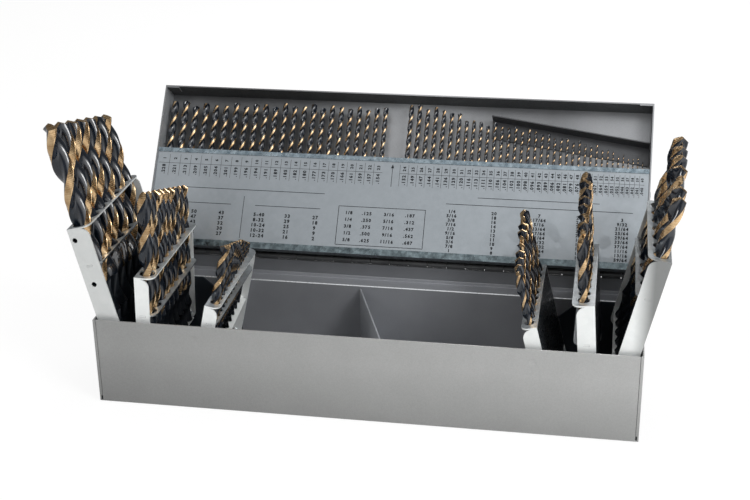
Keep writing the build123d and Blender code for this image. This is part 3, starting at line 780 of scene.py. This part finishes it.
def rule_points(x0, u0, x1, u1, width):
    """A thin straight bar between two places on the panel."""
    run = np.array([x1 - x0, u1 - u0])
    side = np.array([-run[1], run[0]]) / np.hypot(*run) * width / 2
    corners = np.array([(x0, u0) - side, (x1, u1) - side, (x1, u1) + side, (x0, u0) + side])
    points = np.concatenate([lid_points(corners[:, 0], ink_low, corners[:, 1]),
                             lid_points(corners[:, 0], ink_high, corners[:, 1])])
    faces = [[3, 2, 1, 0], [4, 5, 6, 7], [0, 1, 5, 4], [1, 2, 6, 5], [2, 3, 7, 6], [3, 0, 4, 7]]
    return [(points, faces)]


prints = []
index_u, decimal_u, digit_height, decimal_height = 66.3, 57.9, 2.4, 2.7
digit_room, decimal_room = 0.58, 0.64
hair_line, middle_line, arrow_line, frame_line = 0.2, 0.24, 0.35, 0.4
row_top, row_middle, row_bottom = 69.4, 62.8, 53.2
for xs, row_sizes, first in ((long_x, sizes["panel_long"], 1), (short_x, sizes["panel_short"], 24)):
    steps = np.diff(xs)
    lines = np.concatenate([[xs[0] - steps[0] / 2], xs[:-1] + steps / 2, [xs[-1] + steps[-1] / 2]])
    for k, (x, size) in enumerate(zip(xs, row_sizes)):
        room = lines[k + 1] - lines[k]
        prints += string_points(str(first + k), x, index_u, min(digit_height, digit_room * room), turned=True)
        decimal = f"{size:.3f}"[1:]
        prints += string_points(decimal, x, decimal_u, min(decimal_height, decimal_room * room), turned=True)
    for line in lines[1 if first == 1 else 0:-1]:
        prints += rule_points(line, row_bottom, line, row_top, hair_line)
    prints += rule_points(lines[0], row_middle, lines[-1], row_middle, middle_line)
arrow_x, arrow_low, arrow_high = -2.6, 52.6, 67.5
head_half, head_foot, head_tip = 1.1, arrow_high - 1.0, arrow_high + 2.0
prints += rule_points(arrow_x, arrow_low, arrow_x, arrow_high, arrow_line)
head = np.array([(arrow_x - head_half, head_foot), (arrow_x + head_half, head_foot), (arrow_x, head_tip)])
head_points = np.concatenate([lid_points(head[:, 0], level, head[:, 1]) for level in (ink_low, ink_high)])
prints.append((head_points, [[2, 1, 0], [3, 4, 5], [0, 1, 4, 3], [1, 2, 5, 4], [2, 0, 3, 5]]))
print("index strings laid out:", len(prints))

# %% Tables of plain numbers
def table(columns, top_u, step, height):
    """Rows of numbers under each other; columns is a list of (x, strings)."""
    made = []
    for x, strings in columns:
        for k, text in enumerate(strings):
            made += string_points(text, x, top_u - k * step, height)
    return made


left_top, left_step, left_height = 27.0, 3.9, 2.8
right_top, right_step, right_height = 36.8, 3.18, 2.5
box_top, box_step, box_height = 32.0, 5.0, 2.6
prints += table(
    [(-165.0, ["0-80", "1-64", "2-56", "3-48", "4-40"]), (-145.0, ["50", "47", "43", "40", "36"]),
     (-124.5, ["43", "37", "32", "30", "27"]), (-96.5, ["5-40", "8-32", "10-24", "10-32", "12-24"]),
     (-75.5, ["33", "29", "25", "21", "16"]), (-55.0, ["27", "18", "9", "9", "2"])],
    left_top, left_step, left_height,
)
prints += table(
    [(42.5, ["1/4", "5/16", "3/8", "7/16", "1/2", "9/16", "5/8", "3/4", "7/8", "1"]),
     (72.3, ["20", "18", "16", "14", "13", "12", "11", "10", "9", "8"]),
     (104.0, ["7", "17/64", "5/16", "23/64", "27/64", "31/64", "17/32", "21/32", "49/64", "7/8"]),
     (131.5, ["28", "24", "24", "20", "20", "18", "18", "16", "14", "14"]),
     (161.0, ["3", "9/32", "21/64", "25/64", "29/64", "33/64", "37/64", "11/16", "13/16", "59/64"])],
    right_top, right_step, right_height,
)
box_left, box_right, box_low, box_high = -38.6, 23.8, 8.0, 36.5
for ends in ((box_left, box_low, box_right, box_low), (box_left, box_high, box_right, box_high),
             (box_left, box_low, box_left, box_high), (box_right, box_low, box_right, box_high)):
    prints += rule_points(*ends, frame_line)
eighths = ["1/8", "1/4", "3/8", "1/2", "5/8"]
prints += table(
    [(-31.0, eighths), (-18.0, [".125", ".250", ".375", ".500", ".625"]),
     (-2.0, ["3/16", "5/16", "7/16", "9/16", "11/16"]), (13.0, [".187", ".312", ".437", ".562", ".687"])],
    box_top, box_step, box_height,
)
split_x, split_low, split_high = -108.8, 8.5, 40.0
prints += rule_points(split_x, split_low, split_x, split_high, arrow_line)
title_lines = ((-153.0, -50.0, 44.9), (-100.0, -52.0, 33.5), (-170.0, -118.0, 33.5), (38.0, 168.0, 42.0),
               (60.0, 145.0, 47.5))
for left, right, u in title_lines:
    prints += rule_points(left, u, right, u, frame_line)
points, faces, _, _ = join_bits([(p, f, np.zeros(len(f)), np.zeros(len(p))) for p, f in prints])
add_piece("panel_numbers", points, faces, "lid", [ink])
print("printed faces:", len(faces))

# %% [markdown]
# ## Hinge
# Each leaf of the hinge is a strip whose tongues are rolled around the pin. The profile of a tongue is a
# path: up the strip, then around the pin; giving the path a thickness and a width makes the knuckle.

# %% Rolled knuckles
knuckle_count, hinge_half, knuckle_gap = 26, 176.0, 0.4
knuckle_radius, leaf_sheet, leaf_height, lid_heel = 1.9, 0.7, 14.0, 1.1
knuckle_pitch = 2 * hinge_half / knuckle_count


def rolled_tongue(x0, x1, strip_length, lift):
    """Path: up at offset -lift, then 340 degrees around the pin; leaf_sheet thick, x0 to x1 wide."""
    middle = knuckle_radius - leaf_sheet / 2
    turn = np.radians(np.linspace(205, -135, 22))
    round_part = np.stack([middle * np.cos(turn), middle * np.sin(turn)], -1)
    straight = np.array([(-lift, -strip_length), (-lift, -knuckle_radius - knuckle_gap), (-lift - 0.3, -1.2)])
    path = np.concatenate([straight, round_part])
    along = np.gradient(path, axis=0)
    along /= np.linalg.norm(along, axis=1)[:, None]
    side = np.stack([-along[:, 1], along[:, 0]], -1) * leaf_sheet / 2
    ring = np.stack([path + side, path - side], 1)
    count = len(path)
    points = np.empty((count, 2, 2, 3))
    for end, x in enumerate((x0, x1)):
        points[:, :, end, 0] = x
        points[:, :, end, 1:] = ring
    points = points.reshape(-1, 3)
    faces = []
    for k in range(count - 1):
        a, b = 4 * k, 4 * (k + 1)
        faces += [[a, a + 1, b + 1, b], [a + 1, a + 3, b + 3, b + 1]]
        faces += [[a + 3, a + 2, b + 2, b + 3], [a + 2, a, b, b + 2]]
    last = 4 * (count - 1)
    faces += [[0, 2, 3, 1], [last + 1, last + 3, last + 2, last]]
    return points, faces


def hinge_piece(name, first, strip_length, lift, place, body, node):
    """Every second knuckle and the strip under them."""
    made = []
    for k in range(first, knuckle_count, 2):
        x = -hinge_half + (k + 0.5) * knuckle_pitch
        half = (knuckle_pitch - knuckle_gap) / 2
        made.append(rolled_tongue(x - half, x + half, strip_length, lift))
    low, high = -strip_length, -knuckle_radius
    near, far = -lift - leaf_sheet / 2, -lift + leaf_sheet / 2
    corners = [(near, low), (far, low), (far, high), (near, high)]
    strip = np.array([(x, a, b) for x in (-hinge_half, hinge_half) for a, b in corners])
    made.append((strip, [[0, 1, 2, 3], [7, 6, 5, 4], [0, 4, 5, 1], [1, 5, 6, 2], [2, 6, 7, 3], [3, 7, 4, 0]]))
    points, faces, _, _ = join_bits([(p, f, np.zeros(len(f)), np.zeros(len(p))) for p, f in made])
    shape = bmesh.new()
    piece = add_piece(name, place(points), faces, body, [hinge_steel])
    shape.from_mesh(piece.data)
    bmesh.ops.recalc_face_normals(shape, faces=shape.faces)
    shape.to_mesh(piece.data)
    shape.free()
    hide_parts(node)
    return piece


leaf_middle = lid_heel - leaf_sheet / 2
base_place = lambda p: p + np.array([0.0, hinge_y, hinge_z])
lid_place = lambda p: lid_points(p[:, 0], p[:, 2], -p[:, 1])
hinge_piece("hinge_base_rolled", 0, leaf_height, leaf_middle, base_place, "base", "hinge_base_leaf")
hinge_piece("hinge_lid_rolled", 1, -lid_outer_n, leaf_middle, lid_place, "lid", "hinge_lid_leaf")
print("knuckles:", knuckle_count)

# %% [markdown]
# ## Pin and rivets
# Rivets and the pin are turned shapes: a profile of (radius, distance) pairs carried around an axis.

# %% Turned shapes
turned_columns = 28


def turned(profile, centre, axis):
    """Carry (radius, distance) pairs around an axis through the centre; the ends close on the axis."""
    axis = np.asarray(axis, float) / np.linalg.norm(axis)
    helper = np.array([0.0, 0.0, 1.0]) if abs(axis[2]) < 0.9 else np.array([1.0, 0.0, 0.0])
    first = np.cross(helper, axis)
    first /= np.linalg.norm(first)
    second = np.cross(axis, first)
    angle = np.linspace(0, 2 * math.pi, turned_columns, endpoint=False)
    r, t = np.array(profile, float).T
    ring = np.cos(angle)[:, None] * first + np.sin(angle)[:, None] * second
    points = np.asarray(centre) + r[:, None, None] * ring[None] + t[:, None, None] * axis
    rows = len(profile)
    faces = grid_faces(rows, turned_columns)
    faces.append(list(range(turned_columns))[::-1])
    faces.append([(rows - 1) * turned_columns + c for c in range(turned_columns)])
    return points.reshape(-1, 3), faces


def turned_piece(name, shapes, body, node, material):
    points, faces, _, _ = join_bits([(p, f, np.zeros(len(f)), np.zeros(len(p))) for p, f in shapes])
    piece = add_piece(name, points, faces, body, [material], sharp=50.0)
    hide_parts(node)
    return piece


pin_radius = 1.1
pin_half = hinge_half - knuckle_gap
pin_profile = [(0.8, -pin_half), (pin_radius, -pin_half + 0.3), (pin_radius, pin_half - 0.3), (0.8, pin_half)]
pin_shape = turned(pin_profile, (0, hinge_y, hinge_z), (1, 0, 0))
turned_piece("hinge_pin_turned", [pin_shape], "base", "hinge_pin", hinge_steel)

bracket_sheet, rack_sheet, rivet_gap = 1.2, 1.0, 0.2
front_bracket_y, rear_bracket_y = case_front + 1.0, 46.0
head_radius, head_height, shaft_radius, collar_radius = 2.7, 1.0, 1.6, 2.6
shapes = []
for rack in racks.values():
    inset, height = rack["pivot"]
    x = rack["side"] * (wall - inset)
    for end, plate_y, arm_y in ((1, front_bracket_y, rack_front), (-1, rear_bracket_y, rack_rear)):
        collar = abs(arm_y - plate_y) - rivet_gap
        head = abs(arm_y - plate_y) + rack_sheet + rivet_gap
        profile = [
            (0.6, 0.05), (shaft_radius, 0.05), (shaft_radius, bracket_sheet), (collar_radius, bracket_sheet),
            (collar_radius, collar), (shaft_radius, collar), (shaft_radius, head), (head_radius - 0.15, head),
            (head_radius, head + 0.3), (head_radius - 0.2, head + 0.7), (head_radius - 0.8, head + head_height),
            (1.1, head + head_height - 0.15), (0.8, head + 0.5), (0.3, head + 0.45),
        ]
        shapes.append(turned(profile, (x, plate_y, height), (0, end, 0)))
turned_piece("pivot_rivets_turned", shapes, "base", "pivot_rivets", rivet_steel)

shapes = []
rivet_reaches, dome = (16.0, 58.0), 0.8
dome_profile = [(1.0, -1.6), (1.6, -1.6), (1.6, 0.0), (2.9, 0.0), (2.7, 0.3), (2.1, 0.6), (1.1, dome - 0.05),
                (0.3, dome)]
for side in (-1, 1):
    for reach in rivet_reaches:
        shapes.append(turned(dome_profile, lid_points(side * lid_half, panel_row, reach), (side, 0, 0)))
turned_piece("panel_rivets_turned", shapes, "lid", "panel_rivets", rivet_steel)
print("rivets made")

# %% [markdown]
# ## Floor, light and camera
# The object stands on a pale floor in a white surround. The camera sees white behind the object, and soft
# lamps and a dimmer surround light it. What polished steel mirrors is graded instead of white: a surround
# that is dark but for a bright patch high in front on the right, and a floor that is brighter to the right.
# Both gradings reach past a strength of 1, and they show only in reflections, where they give the bits
# contrast.

# %% Floor
floor_half, floor_z = 4.0, -0.0003
floor_greys = ((0.0, (0.86, 0.86, 0.86)), (1.0, (0.90, 0.90, 0.90)))
glow_strength, glow_share = 1.06, 0.8
mirror_left, mirror_right, mirror_from, mirror_to = 0.55, 1.20, 0.0, 0.45


def studio_floor():
    corners = [(x * floor_half, y * floor_half, floor_z) for x, y in ((-1, -1), (1, -1), (1, 1), (-1, 1))]
    mesh = bpy.data.meshes.new("studio_floor")
    mesh.from_pydata(corners, [], [[0, 1, 2, 3]])
    material = new_finish("studio_floor", Roughness=0.9)
    shader = shader_of(material)
    tone = blend_colours(material, noise(material, metres(material), 3.0), *floor_greys)
    wire(material, tone, shader.inputs["Base Color"])
    shader.inputs["Specular IOR Level"].default_value = 0.0
    path = add(material, "ShaderNodeLightPath")
    glow = add(material, "ShaderNodeEmission")
    glow.inputs["Strength"].default_value = glow_strength
    share = add(material, "ShaderNodeMath", operation="MULTIPLY")
    wire(material, path.outputs["Is Camera Ray"], share.inputs[0])
    share.inputs[1].default_value = glow_share
    mixed = add(material, "ShaderNodeMixShader")
    wire(material, share.outputs[0], mixed.inputs["Fac"])
    wire(material, shader.outputs["BSDF"], mixed.inputs[1])
    wire(material, glow.outputs["Emission"], mixed.inputs[2])
    band = add(material, "ShaderNodeSeparateXYZ")
    wire(material, metres(material), band.inputs["Vector"])
    mirrored = add(material, "ShaderNodeEmission")
    mirrored_level = blend_values(material, band.outputs["X"], mirror_left, mirror_right, mirror_from, mirror_to)
    wire(material, mirrored_level, mirrored.inputs["Strength"])
    polished = add(material, "ShaderNodeMixShader")
    wire(material, path.outputs["Is Glossy Ray"], polished.inputs["Fac"])
    wire(material, mixed.outputs["Shader"], polished.inputs[1])
    wire(material, mirrored.outputs["Emission"], polished.inputs[2])
    output = material.node_tree.nodes["Material Output"]
    wire(material, polished.outputs["Shader"], output.inputs["Surface"])
    mesh.materials.append(material)
    floor = bpy.data.objects.new("studio_floor", mesh)
    bpy.context.scene.collection.objects.link(floor)


studio_floor()

# %% White surround
bright_patch = (0.35, -0.60, 0.72)
patch_ramp = (("From Min", 0.62), ("From Max", 0.97), ("To Min", 0.14), ("To Max", 1.9))
surround_light, surround_seen = 0.5, 1.0
world = bpy.data.worlds.new("studio")
bpy.context.scene.world = world
world.use_nodes = True
tree = world.node_tree
tree.nodes.clear()
path = tree.nodes.new("ShaderNodeLightPath")
seen = tree.nodes.new("ShaderNodeMath")
seen.operation = "MAXIMUM"
tree.links.new(path.outputs["Is Camera Ray"], seen.inputs[0])
tree.links.new(path.outputs["Is Transmission Ray"], seen.inputs[1])
direction = tree.nodes.new("ShaderNodeTexCoord")
bright_side = tree.nodes.new("ShaderNodeVectorMath")
bright_side.operation = "DOT_PRODUCT"
tree.links.new(direction.outputs["Generated"], bright_side.inputs[0])
bright_side.inputs[1].default_value = bright_patch
front = tree.nodes.new("ShaderNodeMapRange")
for place, value in patch_ramp:
    front.inputs[place].default_value = value
tree.links.new(bright_side.outputs["Value"], front.inputs["Value"])
gloss = tree.nodes.new("ShaderNodeBackground")
gloss.inputs["Color"].default_value = (1.0, 1.0, 1.0, 1.0)
tree.links.new(front.outputs["Result"], gloss.inputs["Strength"])
lit = tree.nodes.new("ShaderNodeBackground")
lit.inputs["Color"].default_value = (1.0, 1.0, 1.0, 1.0)
lit.inputs["Strength"].default_value = surround_light
white = tree.nodes.new("ShaderNodeBackground")
white.inputs["Color"].default_value = (1.0, 1.0, 1.0, 1.0)
white.inputs["Strength"].default_value = surround_seen
glossy_mix = tree.nodes.new("ShaderNodeMixShader")
mixed = tree.nodes.new("ShaderNodeMixShader")
output = tree.nodes.new("ShaderNodeOutputWorld")
tree.links.new(path.outputs["Is Glossy Ray"], glossy_mix.inputs["Fac"])
tree.links.new(lit.outputs["Background"], glossy_mix.inputs[1])
tree.links.new(gloss.outputs["Background"], glossy_mix.inputs[2])
tree.links.new(seen.outputs[0], mixed.inputs["Fac"])
tree.links.new(glossy_mix.outputs["Shader"], mixed.inputs[1])
tree.links.new(white.outputs["Background"], mixed.inputs[2])
tree.links.new(mixed.outputs["Shader"], output.inputs["Surface"])
print("surround made")

# %% Lamps
def softbox(name, place, aim, width, power):
    """A square area lamp at a place, aimed at a point."""
    lamp = bpy.data.lights.new(name, "AREA")
    lamp.shape = "SQUARE"
    lamp.size = width
    lamp.energy = power
    holder = bpy.data.objects.new(name, lamp)
    bpy.context.scene.collection.objects.link(holder)
    back = np.array(place, float) - np.array(aim, float)
    back /= np.linalg.norm(back)
    right = np.cross((0.0, 0.0, 1.0), back)
    right /= np.linalg.norm(right)
    up = np.cross(back, right)
    turn = np.eye(4)
    turn[:3, 0], turn[:3, 1], turn[:3, 2], turn[:3, 3] = right, up, back, place
    holder.matrix_world = Matrix(turn.tolist())


case_middle = (0.0, 0.0, 0.05)
softbox("key_lamp", (0.9, -0.7, 1.1), case_middle, 0.5, 10.0)
softbox("fill_lamp", (-1.1, -0.6, 0.8), case_middle, 0.4, 5.5)
softbox("back_lamp", (0.2, 1.3, 1.0), case_middle, 0.5, 6.0)
print("lamps made")

# %% Camera
camera_place = np.array([148.8, -824.6, 451.4]) * mm
yaw, pitch, roll = -0.17818, 0.40123, -0.013015
camera = bpy.data.cameras.new("camera")
sensor_width, focal_pixels, image_pixels = 36.0, 1373.94, 750
camera.sensor_width = sensor_width
camera.lens = sensor_width * focal_pixels / image_pixels
camera.clip_start, camera.clip_end = 0.01, 50.0
forward = np.array([math.sin(yaw) * math.cos(pitch), math.cos(yaw) * math.cos(pitch), -math.sin(pitch)])
right = np.array([math.cos(yaw), -math.sin(yaw), 0.0])
up = np.cross(right, forward)
turn = np.eye(4)
turn[:3, 0] = right * math.cos(roll) + up * math.sin(roll)
turn[:3, 1] = -right * math.sin(roll) + up * math.cos(roll)
turn[:3, 2] = -forward
turn[:3, 3] = camera_place
holder = bpy.data.objects.new("camera", camera)
bpy.context.scene.collection.objects.link(holder)
holder.matrix_world = Matrix(turn.tolist())
bpy.context.scene.camera = holder
bpy.context.scene.view_settings.view_transform = "Standard"
print("camera made")
